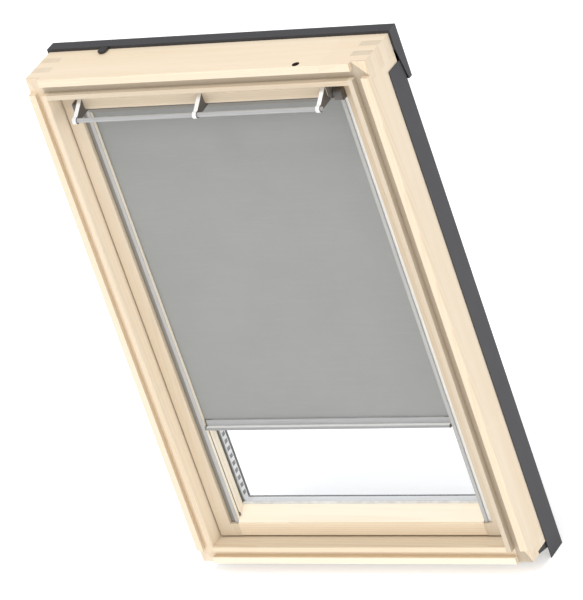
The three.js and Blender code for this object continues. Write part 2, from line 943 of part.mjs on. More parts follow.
// Ventilation flap: a pine strip on a metal carrier, with an end cap and pin at each end
function buildFlap() {
  const flapBack = flapFace + flapThick;
  const strip = alongX(
    topOutline([
      [flapTop, flapFace, flapTopRound],
      [flapFoot, flapFace, flapRound],
      [flapFoot, flapBack],
      [flapTop, flapBack],
    ]),
    -flapHalf,
    flapHalf,
  );
  addPiece("flap_strip", strip, pine);

  const carrierFace = flapBack + seatGap;
  const carrier = slab(
    -flapHalf,
    flapHalf,
    carrierFace,
    carrierFace + carrierThick,
    zBelow(carrierFoot),
    zBelow(carrierTop),
  );
  const footLip = slab(
    -flapHalf,
    flapHalf,
    flapFace + flapRound,
    carrierFace + carrierThick,
    zBelow(carrierFoot),
    zBelow(flapFoot + seatGap),
  );
  addPiece("flap_carrier", carrier.add(footLip), satinMetal);

  for (const [name, side] of sides) {
    const from = flapHalf + seatGap;
    const to = from + flapEndThick;
    const outline = topOutline([
      [flapTop, flapFace, flapTopRound],
      [carrierFoot, flapFace, flapRound],
      [carrierFoot, carrierFace + carrierThick],
      [flapTop, carrierFace + carrierThick],
    ]);
    const cap = side > 0 ? alongX(outline, from, to) : alongX(outline, -to, -from);
    const pin =
      side > 0
        ? rodX(flapPinRadius, from, to + flapPinLength, flapAxisDepth, zBelow(flapFoot), smallSides)
        : rodX(flapPinRadius, -to - flapPinLength, -from, flapAxisDepth, zBelow(flapFoot), smallSides);
    addPiece(`flap_end_${name}`, cap.add(pin), darkPlastic);
  }

  addPiece(
    "flap_seal",
    slab(
      -flapHalf,
      flapHalf,
      carrierFace + carrierThick + seatGap / 3,
      sashFace - seatGap / 3,
      zBelow(carrierTop + flapSealHeight),
      zBelow(carrierTop),
    ),
    blackRubber,
  );

  addPiece(
    "control_bar",
    rodX(barRadius, -barHalf, barHalf, barDepth, zBelow(barInset)),
    satinMetal,
  );

  // Each arm is a gusset from the whole face of the strip to an eye that clips round the bar
  const armPlaces = [
    ["left", -armHalf],
    ["middle", 0],
    ["right", armHalf],
  ];
  const rootDepth = flapFace + flapRound - seatGap;
  const seat = alongX(
    topOutline([
      [flapTop - seatGap, flapFace - seatGap, flapTopRound + seatGap],
      [flapFoot + seatGap, flapFace - seatGap, flapRound + seatGap],
      [flapFoot + seatGap, flapBack],
      [flapTop - seatGap, flapBack],
    ]),
    -flapHalf - overrun,
    flapHalf + overrun,
  );
  for (const [name, x] of armPlaces) {
    const blade = alongX(
      topOutline([
        [flapTop + arris, rootDepth],
        [flapTop + arris, flapFace - seatGap],
        [barInset - armWaist, barDepth],
        [barInset + armWaist, barDepth],
        [carrierFoot, rootDepth],
      ]),
      x - armThick / 2,
      x + armThick / 2,
    );
    const barZ = zBelow(barInset);
    const eye = rodX(barRadius + armWaist / 2, x - armThick / 2, x + armThick / 2, barDepth, barZ);
    const hole = rodX(barRadius + seatGap, x - armThick, x + armThick, barDepth, barZ);
    addPiece(`bar_arm_${name}`, blade.subtract(seat).add(eye).subtract(hole), satinMetal);
  }
}

// Bearing blocks on the stiles, in which the flap's pins turn
function buildFlapBearings() {
  const inner = halfWidth - sightInset + seatGap;
  const outer = halfWidth - railInset;
  for (const [name, side] of sides) {
    const outline = topOutline([
      [bearingTop, bearingFace, bearingRound],
      [bearingFoot, bearingFace, bearingRound],
      [bearingFoot, railFace - seatGap],
      [bearingTop, railFace - seatGap],
    ]);
    const from = side > 0 ? inner : -outer;
    const to = side > 0 ? outer : -inner;
    const body = alongX(outline, from, to);
    const reach = inner + flapPinLength;
    const bore = flapPinRadius + seatGap;
    const hole =
      side > 0
        ? rodX(bore, inner - overrun, reach, flapAxisDepth, zBelow(flapFoot), smallSides)
        : rodX(bore, -reach, -inner + overrun, flapAxisDepth, zBelow(flapFoot), smallSides);
    addPiece(`flap_bearing_${name}`, body.subtract(hole), darkPlastic);
  }
}

// Blind casing with a slot below for the fabric, and the brackets that hold it and the roller
function buildCasing() {
  const casingX = halfWidth - sightInset - seatGap;
  const outerZ = zBelow(casingTop);
  const footZ = zBelow(casingFoot);
  const stepZ = footZ + casingStep;
  const shell = alongX(
    rounded([
      [yAt(casingFace), outerZ, casingRound],
      [yAt(casingBack), outerZ],
      [yAt(casingBack), footZ],
      [yAt(slotBack), footZ],
      [yAt(slotBack), footZ + casingWall],
      [yAt(casingBack - casingWall), footZ + casingWall],
      [yAt(casingBack - casingWall), outerZ - casingWall],
      [yAt(casingFace + casingWall), outerZ - casingWall, casingRound - casingWall],
      [yAt(casingFace + casingWall), stepZ + casingWall],
      [yAt(slotFace), stepZ + casingWall],
      [yAt(slotFace), footZ],
      [yAt(slotFace - casingWall), footZ],
      [yAt(slotFace - casingWall), stepZ],
      [yAt(casingFace), stepZ, arris],
    ]),
    -casingX,
    casingX,
  );
  addPiece("blind_casing", shell, satinMetal);

  const rollerZ = zBelow(rollerInset);
  for (const [name, side] of sides) {
    const inner = halfWidth - sightInset;
    const outer = halfWidth - railInset;
    const body = slab(
      side * inner,
      side * outer,
      railFace,
      casingBack,
      zBelow(bracketFoot),
      zBelow(bracketTop),
    );
    const holeEnd = inner + plugPinLength;
    const hole =
      side > 0
        ? rodX(plugPinRadius + seatGap, inner - overrun, holeEnd, rollerDepth, rollerZ, smallSides)
        : rodX(plugPinRadius + seatGap, -holeEnd, -inner + overrun, rollerDepth, rollerZ, smallSides);
    addPiece(`blind_bracket_${name}`, body.subtract(hole), darkPlastic);
  }
}

// Guide rails: hollow bars let into the stiles, with a ridge and a slit along the inner side
function buildGuideRails() {
  const railX = halfWidth - railInset;
  const sightX = halfWidth - sightInset;
  const topZ = zBelow(bracketFoot + seatGap);
  for (const [name, side] of sides) {
    const slitFace = fabricDepth - railSlitWidth / 2;
    const slitBack = fabricDepth + railSlitWidth / 2;
    const outline = rounded([
      [side * railX, yAt(railFace + railStep)],
      [side * (sightX + railRidge), yAt(railFace + railStep)],
      [side * (sightX + railRidge), yAt(railFace), railRound],
      [side * sightX, yAt(railFace), railRound],
      [side * sightX, yAt(slitFace)],
      [side * (sightX + railWall), yAt(slitFace)],
      [side * (sightX + railWall), yAt(slitFace - railWall)],
      [side * (sightX + railSlitDepth), yAt(slitFace - railWall)],
      [side * (sightX + railSlitDepth), yAt(slitBack + railWall)],
      [side * (sightX + railWall), yAt(slitBack + railWall)],
      [side * (sightX + railWall), yAt(slitBack)],
      [side * sightX, yAt(slitBack)],
      [side * sightX, yAt(railBack)],
      [side * railX, yAt(railBack)],
    ]);
    addPiece(`guide_rail_${name}`, alongZ(outline, railFoot + seatGap, topZ), satinMetal);

    const stop = slab(
      side * (sightX + railWall + seatGap),
      side * (sightX + railSlitDepth - seatGap),
      slitFace - railWall + seatGap,
      slitBack + railWall - seatGap,
      railFoot + seatGap,
      railFoot + seatGap + stopHeight,
    );
    const nose = slab(
      side * (sightX - stopNoseReach),
      side * (sightX + railWall + arris),
      slitFace + seatGap,
      slitBack - seatGap,
      railFoot + seatGap + stopNoseLift,
      railFoot + seatGap + stopHeight,
    );
    addPiece(`rail_stop_${name}`, stop.add(nose), darkPlastic);
  }
}

// A wire wound round the X axis, as one closed tube
function helix(radius, wire, pitch, turns, startX) {
  const stepsPerTurn = 12;
  const wireSides = 6;
  const steps = turns * stepsPerTurn;
  const positions = [];
  const index = [];
  const slope = pitch / (2 * Math.PI);
  for (let i = 0; i <= steps; i++) {
    const angle = (2 * Math.PI * i) / stepsPerTurn;
    const out = new THREE.Vector3(0, Math.cos(angle), Math.sin(angle));
    const along = new THREE.Vector3(slope, -Math.sin(angle) * radius, Math.cos(angle) * radius).normalize();
    const across = new THREE.Vector3().crossVectors(along, out);
    const centre = out.clone().multiplyScalar(radius);
    centre.x = startX + slope * angle;
    for (let k = 0; k < wireSides; k++) {
      const turn = (2 * Math.PI * k) / wireSides;
      const point = centre
        .clone()
        .addScaledVector(out, wire * Math.cos(turn))
        .addScaledVector(across, wire * Math.sin(turn));
      positions.push(point.x, point.y, point.z);
    }
  }
  for (let i = 0; i < steps; i++) {
    for (let k = 0; k < wireSides; k++) {
      const m = (k + 1) % wireSides;
      const a = i * wireSides + k;
      const b = i * wireSides + m;
      const c = (i + 1) * wireSides + m;
      const d = (i + 1) * wireSides + k;
      index.push(a, b, c, a, c, d);
    }
  }
  const last = steps * wireSides;
  for (let k = 1; k < wireSides - 1; k++) {
    index.push(0, k + 1, k);
    index.push(last, last + k, last + k + 1);
  }
  const geometry = new THREE.BufferGeometry();
  geometry.setAttribute("position", new THREE.BufferAttribute(new Float32Array(positions), 3));
  geometry.setIndex(index);
  return geometry;
}

// Roller: a tube with the wound fabric, a plug at each end and the balance spring inside
function buildRoller() {
  const tubeX = halfWidth - sightInset - rollEndGap;
  const z = zBelow(rollerInset);
  const tube = rodX(tubeRadius, -tubeX, tubeX, rollerDepth, z);
  const bore = rodX(tubeRadius - tubeWall, -tubeX - overrun, tubeX + overrun, rollerDepth, z);
  addPiece("roller_tube", tube.subtract(bore), satinMetal);

  const rollX = tubeX - arris;
  const roll = rodX(rollRadius, -rollX, rollX, rollerDepth, z);
  const rollBore = rodX(tubeRadius + seatGap / 3, -rollX - overrun, rollX + overrun, rollerDepth, z);
  addPiece("fabric_roll", roll.subtract(rollBore), greyCloth);

  // The left plug reaches into the spring's first turns and turns on the rod
  const springSeatRadius = springRadius - springWire - seatGap;
  const bracketFace = halfWidth - sightInset;
  for (const [name, side] of sides) {
    const span = (radius, from, to) =>
      side > 0
        ? rodX(radius, from, to, rollerDepth, z, smallSides)
        : rodX(radius, -to, -from, rollerDepth, z, smallSides);
    const flangeFrom = tubeX + seatGap;
    const core = span(tubeRadius - tubeWall - seatGap, tubeX - plugLength, flangeFrom + plugFlange);
    const flange = span(tubeRadius, flangeFrom, flangeFrom + plugFlange);
    const pin = span(plugPinRadius, flangeFrom, bracketFace + plugPinLength - arris);
    let plug = core.add(flange).add(pin);
    if (side < 0) {
      const seatFrom = -tubeX + plugLength;
      const seatEnd = seatFrom + springSeatLength;
      const seat = rodX(springSeatRadius, seatFrom - arris, seatEnd, rollerDepth, z, smallSides);
      const rodBore = rodX(rodRadius + seatGap, -halfWidth, seatEnd + overrun, rollerDepth, z, smallSides);
      plug = plug.add(seat).subtract(rodBore);
    }
    addPiece(`roller_plug_${name}`, plug, darkPlastic);
  }

  const rodFrom = -bracketFace - plugPinLength + arris;
  addPiece("spring_rod", rodX(rodRadius, rodFrom, rodFrom + rodLength, rollerDepth, z, smallSides), steel);
  const spring = helix(springRadius, springWire, springPitch, springTurns, -tubeX + plugLength + overrun);
  spring.translate(0, yAt(rollerDepth), z);
  addPiece("balance_spring", toSolid(spring), steel);
}

// Fabric, pull bar and the shoes that slide in the rails
function buildPullBar() {
  const sightX = halfWidth - sightInset;
  const barX = sightX - barEndGap;
  const topZ = barFootZ + barHeight;
  const bar = alongX(
    rounded([
      [yAt(barLedgeFace), barFootZ, barRound],
      [yAt(barLedgeFace), barFootZ + barLedgeHeight, barRound],
      [yAt(slotFace), barFootZ + barLedgeHeight],
      [yAt(slotFace), topZ, arris],
      [yAt(slotBack), topZ, arris],
      [yAt(slotBack), barFootZ, arris],
    ]),
    -barX,
    barX,
  );
  const shoeFace = fabricDepth - shoeThick / 2;
  const shoeBack = fabricDepth + shoeThick / 2;
  const shoeLow = topZ - arris - shoeHeight;
  const shoeTop = topZ - arris;
  let barBody = bar;
  for (const [name, side] of sides) {
    const pocket = slab(
      side * (barX - shoePlug - seatGap),
      side * (barX + overrun),
      shoeFace - seatGap,
      shoeBack + seatGap,
      shoeLow - seatGap,
      shoeTop + seatGap + overrun,
    );
    barBody = barBody.subtract(pocket);
    addPiece(
      `slide_shoe_${name}`,
      slab(side * (barX - shoePlug), side * (sightX + shoeReach), shoeFace, shoeBack, shoeLow, shoeTop),
      darkPlastic,
    );
  }
  addPiece("pull_bar", barBody, satinMetal);

  // The fabric leaves the front of the roll along a tangent to the slot, then hangs down to the bar
  const slotZ = zBelow(casingFoot);
  const clothFace = fabricDepth - fabricThick / 2;
  const rollReach = rollRadius + fabricThick + seatGap;
  const toRoll = new THREE.Vector2(rollerDepth - clothFace, casingFoot - rollerInset);
  const leaveLength = Math.sqrt(toRoll.lengthSq() - rollReach * rollReach);
  const lean = Math.asin(rollReach / toRoll.length()) - Math.atan2(toRoll.x, toRoll.y);
  const leaveDepth = clothFace - leaveLength * Math.sin(lean);
  const leaveZ = slotZ + leaveLength * Math.cos(lean);
  const fabric = alongX(
    bentSheet(
      [
        [yAt(leaveDepth), leaveZ],
        [yAt(clothFace), slotZ],
        [yAt(clothFace), topZ + seatGap],
      ],
      fabricThick,
    ),
    -sightX + rollEndGap + arris,
    sightX - rollEndGap - arris,
  );
  const edges = sides.map(([, side]) =>
    slab(
      side * (sightX - rollEndGap - arris - overrun),
      side * fabricHalf,
      clothFace,
      clothFace + fabricThick,
      topZ + seatGap,
      slotZ - arris,
    ),
  );
  addPiece("blind_fabric", fabric.add(edges[0]).add(edges[1]), greyCloth);
}

buildFrame();
buildFrameCovers();
buildPivots();
buildSash();
buildSashSeals();
buildGlazing();
buildSashCovers();
buildLock();
buildFlap();
buildFlapBearings();
buildCasing();
buildGuideRails();
buildRoller();
buildPullBar();

export default roofWindow;
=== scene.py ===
"""Looks for the pine roof window with its blackout roller blind.

Metres. X runs to the right as seen from the room, Y points outdoors and Z up the slope.
"""

import json
import math

import bmesh
import bpy
from mathutils import Matrix, Vector


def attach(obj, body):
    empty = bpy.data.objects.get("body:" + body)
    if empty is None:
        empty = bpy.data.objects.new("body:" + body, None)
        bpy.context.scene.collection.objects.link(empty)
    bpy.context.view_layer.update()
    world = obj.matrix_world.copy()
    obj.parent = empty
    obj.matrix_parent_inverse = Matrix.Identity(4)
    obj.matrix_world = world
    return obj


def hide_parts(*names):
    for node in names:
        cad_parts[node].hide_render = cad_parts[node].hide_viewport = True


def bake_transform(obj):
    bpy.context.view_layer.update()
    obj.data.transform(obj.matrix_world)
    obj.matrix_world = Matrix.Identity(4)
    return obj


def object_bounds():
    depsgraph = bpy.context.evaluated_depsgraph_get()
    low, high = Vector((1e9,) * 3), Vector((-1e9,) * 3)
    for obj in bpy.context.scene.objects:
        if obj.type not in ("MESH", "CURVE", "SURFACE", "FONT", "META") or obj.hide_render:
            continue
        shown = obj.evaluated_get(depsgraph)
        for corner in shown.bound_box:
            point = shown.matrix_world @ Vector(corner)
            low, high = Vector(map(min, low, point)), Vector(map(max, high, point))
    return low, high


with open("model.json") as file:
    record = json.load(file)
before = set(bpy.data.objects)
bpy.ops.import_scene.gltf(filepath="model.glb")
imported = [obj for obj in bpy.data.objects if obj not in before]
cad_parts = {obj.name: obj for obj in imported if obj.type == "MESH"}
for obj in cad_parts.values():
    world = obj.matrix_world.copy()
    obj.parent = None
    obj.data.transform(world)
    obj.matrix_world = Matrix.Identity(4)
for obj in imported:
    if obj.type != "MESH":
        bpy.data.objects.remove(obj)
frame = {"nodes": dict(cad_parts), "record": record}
cad_low, cad_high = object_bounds()

MM = 0.001

# The window's own sizes, as in the CAD source
FRAME_WIDTH = 660 * MM
FRAME_HEIGHT = 978 * MM
ORIGIN_DEPTH = 16 * MM
SIGHT_INSET = 85 * MM
FABRIC_DEPTH = 41 * MM
FABRIC_IN_RAIL = 8 * MM
CASING_FOOT = 85.5 * MM
ROLLER_INSET = 69.8 * MM
ROLLER_DEPTH = 43 * MM
ROLL_RADIUS = 8.8 * MM
CLOTH_THICK = 0.5 * MM
SEAT_GAP = 0.3 * MM
BAR_TOP = 275 * MM
RAIL_FACE = 32 * MM
RAIL_RIDGE_BACK = 35 * MM
BAR_CAP_X = 241.5 * MM
LEDGE_TOP = 263.5 * MM
LEDGE_FACE = 30 * MM
COVER_LINING_BACK = 94 * MM
SEAL_TOP = 87 * MM
KEYHOLE_X = 199 * MM
KEYHOLE_DEPTH = 10 * MM
KEYHOLE_RADIUS = 6.5 * MM
KEYHOLE_SUNK = 10 * MM
SPACER_FACE = 67 * MM
SPACER_THICK = 14 * MM
SPACER_SHOW = 2 * MM

# Where the lip, the groove, the bead and the reveal of a frame member end, from its outer edge
LIP_END = 13.9 * MM
GROOVE_END = 28.1 * MM
BEAD_END = 37.5 * MM
REVEAL_END = 60 * MM

# Weather-side trim between these two insets is drawn back to the first, and the foot's gasket rises
TRIM_INSET = 77.5 * MM
TRIM_REACH = 110 * MM
SEAL_RISE = 2.4 * MM

# The cloth stays narrower at the casing's slot, and its shoulders are cut a little lower
SLOT_NARROWING = 7 * MM
SHOULDER_DROP = 1 * MM

# Vent slots of the glass spacer
SLOT_PITCH = 15 * MM
SLOT_LENGTH = 7.5 * MM
SLOT_HEIGHT = 9 * MM
SLOT_PROUD = 0.15 * MM

# How squarely a face looks along an axis, as the size of its normal there
SQUARE = 0.9
MOSTLY = 0.5
SLANTED = 0.3

# How near a face or a point has to be to a named place
TOUCHING = 0.1 * MM
CLOSE = 0.5 * MM
NEARBY = 0.6 * MM
BESIDE = 1 * MM

# Share of light that clear glass mirrors head on, and how fast that grows with the slant
GLASS_MIRROR = 0.04
GLANCE_POWER = 5

# Grain and weave
RING_SPACING = 3.2 * MM
BLOCK_LENGTH = 460 * MM
FINGER_LENGTH = 9 * MM
FINGER_PITCH = 3.4 * MM
YARN_PITCH = 0.8 * MM

# A wave texture of scale one repeats in this many metres
WAVE_REPEAT = 2 * math.pi / 20

# Pine: its shades, the shade of end grain, and the tones of painted light that pale the bottom rail's bevel
# and the stiles' reveals
PLAIN_WOOD = (0.78, 0.62, 0.42)
EARLY_WOOD = (0.83, 0.69, 0.505)
LATE_WOOD = (0.745, 0.575, 0.385)
WARM_WOOD = (0.855, 0.73, 0.565)
BLOCK_WOOD = (0.72, 0.545, 0.36)
FIBRE_WOOD = (0.62, 0.455, 0.285)
CREAM = (1.0, 0.92, 0.78)
BLEACH = 4
END_GRAIN_SHARE = 0.88
BEVEL_PAINTED_LIGHT = 1.14
REVEAL_PAINTED_LIGHT = 1.16
SEED_STEP = 1.37
FIRST_SEED = 0.21

# Edges
WELD = 0.002 * MM
WOOD_EDGE = 0.7 * MM
METAL_EDGE = 0.35 * MM
PLASTIC_EDGE = 0.5 * MM
NO_EDGE = 0
EDGE_SEGMENTS = 2
SHARP_ANGLE = math.radians(35)
FLAT_ANGLE = math.radians(0.5)

# Camera, fitted to the photograph
CAMERA_PLACE = (4.78616, -6.58487, 4.57803)
CAMERA_RIGHT = (0.85147, 0.43201, -0.29727)
CAMERA_UP = (0.02284, 0.53578, 0.84405)
CAMERA_BACK = (0.52391, -0.72547, 0.44634)
CAMERA_LENS = 325.79
CAMERA_FAR = 200
SENSOR = 36

# Studio: the floor, the world's light, and each lamp's place and power
FLOOR_HALF = 40.0
FLOOR_GAP = 0.5 * MM
FLOOR_GREY = (0.86, 0.86, 0.86)
FLOOR_GLOW = 0.5
WHITE = (1, 1, 1, 1)
WORLD_STRENGTH = 0.66
LAMP_SIZE = 2.5
LAMP_TARGET = (0, 0, 0.49)
LAMPS = {
    "top_front_light": ((0.0, -2.2, 6.7), 215),
    "right_light": ((6.0, -2.0, 2.0), 56),
    "left_light": ((-6.0, -2.0, 2.5), 24),
}


def y_at(depth):
    """Depth from the room face to Y."""
    return depth - ORIGIN_DEPTH


def z_below(inset):
    """Distance below the top of the frame to Z."""
    return FRAME_HEIGHT - inset


class Finish:
    """A material being built, with short calls for the nodes that the finishes share."""

    def __init__(self, name, colour, roughness, metallic=0.0):
        self.material = bpy.data.materials.new(name)
        self.material.use_nodes = True
        self.tree = self.material.node_tree
        self.shader = self.tree.nodes["Principled BSDF"]
        self.shader.inputs["Base Color"].default_value = (*colour, 1)
        self.shader.inputs["Roughness"].default_value = roughness
        self.shader.inputs["Metallic"].default_value = metallic

    def node(self, kind, inputs=(), **settings):
        """A node with its settings, and with each input set to a value or linked from a socket."""
        made = self.tree.nodes.new(kind)
        for name, value in settings.items():
            setattr(made, name, value)
        for key, value in dict(inputs).items():
            if isinstance(value, bpy.types.NodeSocket):
                self.tree.links.new(value, made.inputs[key])
            else:
                made.inputs[key].default_value = value
        return made

    def link(self, socket, name):
        self.tree.links.new(socket, self.shader.inputs[name])

    def place(self, scale=(1, 1, 1), shift=(0, 0, 0)):
        """Object coordinates, moved and then scaled."""
        coordinates = self.node("ShaderNodeTexCoord").outputs["Object"]
        return self.node(
            "ShaderNodeMapping", {"Vector": coordinates, "Location": shift, "Scale": scale}
        ).outputs["Vector"]

    def maths(self, operation, *values):
        return self.node("ShaderNodeMath", dict(enumerate(values)), operation=operation).outputs[0]

    def spread(self, value, low, high, to_low=0.0, to_high=1.0):
        """A value stretched from one range to another, and held at its ends."""
        return self.node(
            "ShaderNodeMapRange",
            {"Value": value, "From Min": low, "From Max": high, "To Min": to_low, "To Max": to_high},
        ).outputs["Result"]

    def noise(self, vector, scale, detail=3.0, roughness=0.55):
        return self.node(
            "ShaderNodeTexNoise",
            {"Vector": vector, "Scale": scale, "Detail": detail, "Roughness": roughness},
        ).outputs["Fac"]

    def mix(self, factor, first, second):
        """Two colours, as values or sockets, mixed by a factor."""
        made = self.node("ShaderNodeMix", data_type="RGBA")
        for key, value in ((0, factor), (6, first), (7, second)):
            if isinstance(value, bpy.types.NodeSocket):
                self.tree.links.new(value, made.inputs[key])
            else:
                made.inputs[key].default_value = value if key == 0 else (*value, 1)
        return made.outputs[2]

    def bump(self, height, distance, strength=1.0):
        made = self.node("ShaderNodeBump", {"Height": height, "Distance": distance, "Strength": strength})
        self.link(made.outputs["Normal"], "Normal")


def pine(name, along, pith, seed, tone=1.0):
    """Clear-lacquered pine with growth rings round a pith line that runs along the member.

    A tone below one darkens the board, and one above it bleaches it towards cream.
    """
    def toned(colour):
        if tone > 1:
            share = (tone - 1) * BLEACH
            return tuple(part + (pale - part) * share for part, pale in zip(colour, CREAM))
        return tuple(part * tone for part in colour)

    finish = Finish(name, PLAIN_WOOD, 0.42)
    grain = {"X": 0, "Z": 2}[along]
    across = [1, 1, 1]
    across[grain] = 0.035
    place = finish.place()
    parts = finish.node("ShaderNodeSeparateXYZ", {"Vector": place}).outputs

    # Short blocks are joined end to end with fingers, each with its own shade and rings
    zigzag = finish.maths("PINGPONG", parts["Y"], FINGER_PITCH / 2)
    reach = finish.maths("MULTIPLY_ADD", zigzag, 2 * FINGER_LENGTH / FINGER_PITCH, seed)
    block = finish.maths(
        "FLOOR", finish.maths("DIVIDE", finish.maths("ADD", parts[along], reach), BLOCK_LENGTH)
    )
    chance = finish.node(
        "ShaderNodeTexWhiteNoise", {"W": finish.maths("ADD", block, seed)}, noise_dimensions="1D"
    ).outputs
    offset = finish.node(
        "ShaderNodeVectorMath",
        {0: chance["Color"], 1: (0.05, 0.03, 0.05)},
        operation="MULTIPLY",
    ).outputs[0]
    moved = finish.node(
        "ShaderNodeVectorMath", {0: finish.place(across, pith), 1: offset}, operation="ADD"
    ).outputs[0]
    rings = finish.node(
        "ShaderNodeTexWave",
        {
            "Vector": moved,
            "Scale": WAVE_REPEAT / RING_SPACING,
            "Distortion": 2.2,
            "Detail": 2.0,
            "Detail Scale": 0.6,
        },
        wave_type="RINGS",
        rings_direction="SPHERICAL",
        wave_profile="SAW",
    ).outputs["Fac"]
    late = finish.spread(rings, 0.45, 1.0)

    # Fibres, far longer than they are wide
    thread = [1, 1, 1]
    thread[grain] = 0.02
    fibres = finish.noise(finish.place(thread), 900, 2.0)
    broad = finish.noise(finish.place(across), 28, 2.0)

    shade = finish.mix(late, toned(EARLY_WOOD), toned(LATE_WOOD))
    warm = finish.mix(finish.spread(broad, 0.35, 0.65), shade, toned(WARM_WOOD))
    change = finish.spread(chance["Value"], 0, 1, 0.0, 0.16)
    blocks = finish.mix(change, warm, toned(BLOCK_WOOD))
    threads = finish.spread(fibres, 0.55, 0.75, 0.0, 0.18)
    colour = finish.mix(threads, blocks, toned(FIBRE_WOOD))
    finish.link(colour, "Base Color")
    finish.link(finish.spread(fibres, 0.3, 0.7, 0.36, 0.5), "Roughness")
    finish.bump(finish.maths("ADD", fibres, finish.maths("MULTIPLY", late, 0.7)), 0.06 * MM)
    finish.shader.inputs["Coat Weight"].default_value = 0.12
    finish.shader.inputs["Coat Roughness"].default_value = 0.25
    return finish.material


def satin(name, along, colour, roughness=0.4, metallic=0.25):
    """Extruded aluminium with a satin anodised face and faint lines along the extrusion."""
    finish = Finish(name, colour, roughness, metallic)
    stretch = [1, 1, 1]
    stretch[{"X": 0, "Z": 2}[along]] = 0.012
    lines = finish.noise(finish.place(stretch), 1400, 2.0)
    cloud = finish.noise(finish.place(), 45, 3.0)
    lighter = tuple(min(1.0, part * 1.08) for part in colour)
    darker = tuple(part * 0.92 for part in colour)
    finish.link(finish.mix(finish.spread(lines, 0.35, 0.65), darker, lighter), "Base Color")
    finish.link(finish.spread(cloud, 0.3, 0.7, roughness - 0.05, roughness + 0.06), "Roughness")
    finish.bump(lines, 0.012 * MM)
    return finish.material


def lacquer():
    """Dark lacquer on folded aluminium, with the skin of sprayed paint and a little dust."""
    finish = Finish("cover_lacquer", (0.036, 0.037, 0.042), 0.45)
    dust = finish.noise(finish.place(), 22, 5.0, 0.65)
    skin = finish.noise(finish.place(), 1100, 1.0)
    clean = (0.034, 0.034, 0.039)
    dusty = (0.049, 0.048, 0.053)
    finish.link(finish.mix(finish.spread(dust, 0.4, 0.75), clean, dusty), "Base Color")
    finish.link(finish.spread(dust, 0.35, 0.7, 0.36, 0.52), "Roughness")
    finish.bump(skin, 0.02 * MM, 0.6)
    finish.shader.inputs["Specular IOR Level"].default_value = 0.3
    return finish.material


def moulded(name, colour, roughness=0.55):
    """Moulded plastic or rubber with a fine spark-eroded skin."""
    finish = Finish(name, colour, roughness)
    skin = finish.noise(finish.place(), 2200, 2.0)
    cloud = finish.noise(finish.place(), 60, 3.0)
    lighter = tuple(part * 1.25 for part in colour)
    finish.link(finish.mix(finish.spread(cloud, 0.35, 0.7), colour, lighter), "Base Color")
    finish.link(finish.spread(skin, 0.3, 0.7, roughness - 0.08, roughness + 0.1), "Roughness")
    finish.bump(skin, 0.03 * MM)
    return finish.material


def zinc():
    """Zinc-plated steel with its faint crystal bloom."""
    finish = Finish("zinc_plated_steel", (0.50, 0.51, 0.52), 0.34, 1.0)
    crystals = finish.node("ShaderNodeTexVoronoi", {"Vector": finish.place(), "Scale": 260})
    bloom = finish.spread(crystals.outputs["Distance"], 0.1, 0.7)
    wipes = finish.noise(finish.place((1, 1, 0.05)), 500, 2.0)
    blue_zinc = (0.46, 0.47, 0.49)
    pale_zinc = (0.57, 0.57, 0.57)
    finish.link(finish.mix(bloom, blue_zinc, pale_zinc), "Base Color")
    finish.link(finish.spread(wipes, 0.3, 0.7, 0.26, 0.42), "Roughness")
    finish.bump(wipes, 0.015 * MM)
    return finish.material


def cloth():
    """Blackout cloth: a fine plain weave of grey yarns."""
    finish = Finish("blackout_cloth", (0.36, 0.37, 0.355), 0.85)
    place = finish.place()
    frequency = WAVE_REPEAT / YARN_PITCH
    warp, weft = (
        finish.node(
            "ShaderNodeTexWave",
            {"Vector": place, "Scale": frequency, "Distortion": 0.5, "Detail": 1.0, "Detail Scale": 0.4},
            bands_direction=direction,
        ).outputs["Fac"]
        for direction in ("X", "Z")
    )
    over = finish.node("ShaderNodeTexChecker", {"Vector": place, "Scale": 1 / YARN_PITCH}).outputs["Fac"]
    height = finish.node("ShaderNodeMix", {0: over, 2: warp, 3: weft}).outputs[0]
    slub = finish.noise(finish.place((0.04, 1, 1)), 420, 2.0)
    cloud = finish.noise(place, 9, 3.0)
    between_yarns = (0.272, 0.279, 0.270)
    yarn_crown = (0.331, 0.337, 0.327)
    thick_yarn = (0.44, 0.445, 0.43)
    faded = (0.42, 0.425, 0.41)
    yarn = finish.mix(finish.spread(height, 0.1, 0.9), between_yarns, yarn_crown)
    streak = finish.mix(finish.spread(slub, 0.5, 0.8, 0.0, 0.1), yarn, thick_yarn)
    clouded = finish.mix(finish.spread(cloud, 0.3, 0.7, 0.0, 0.12), streak, faded)
    finish.link(clouded, "Base Color")
    finish.bump(height, 0.12 * MM, 0.7)
    finish.shader.inputs["Sheen Weight"].default_value = 0.15
    finish.shader.inputs["Sheen Roughness"].default_value = 0.5
    return finish.material


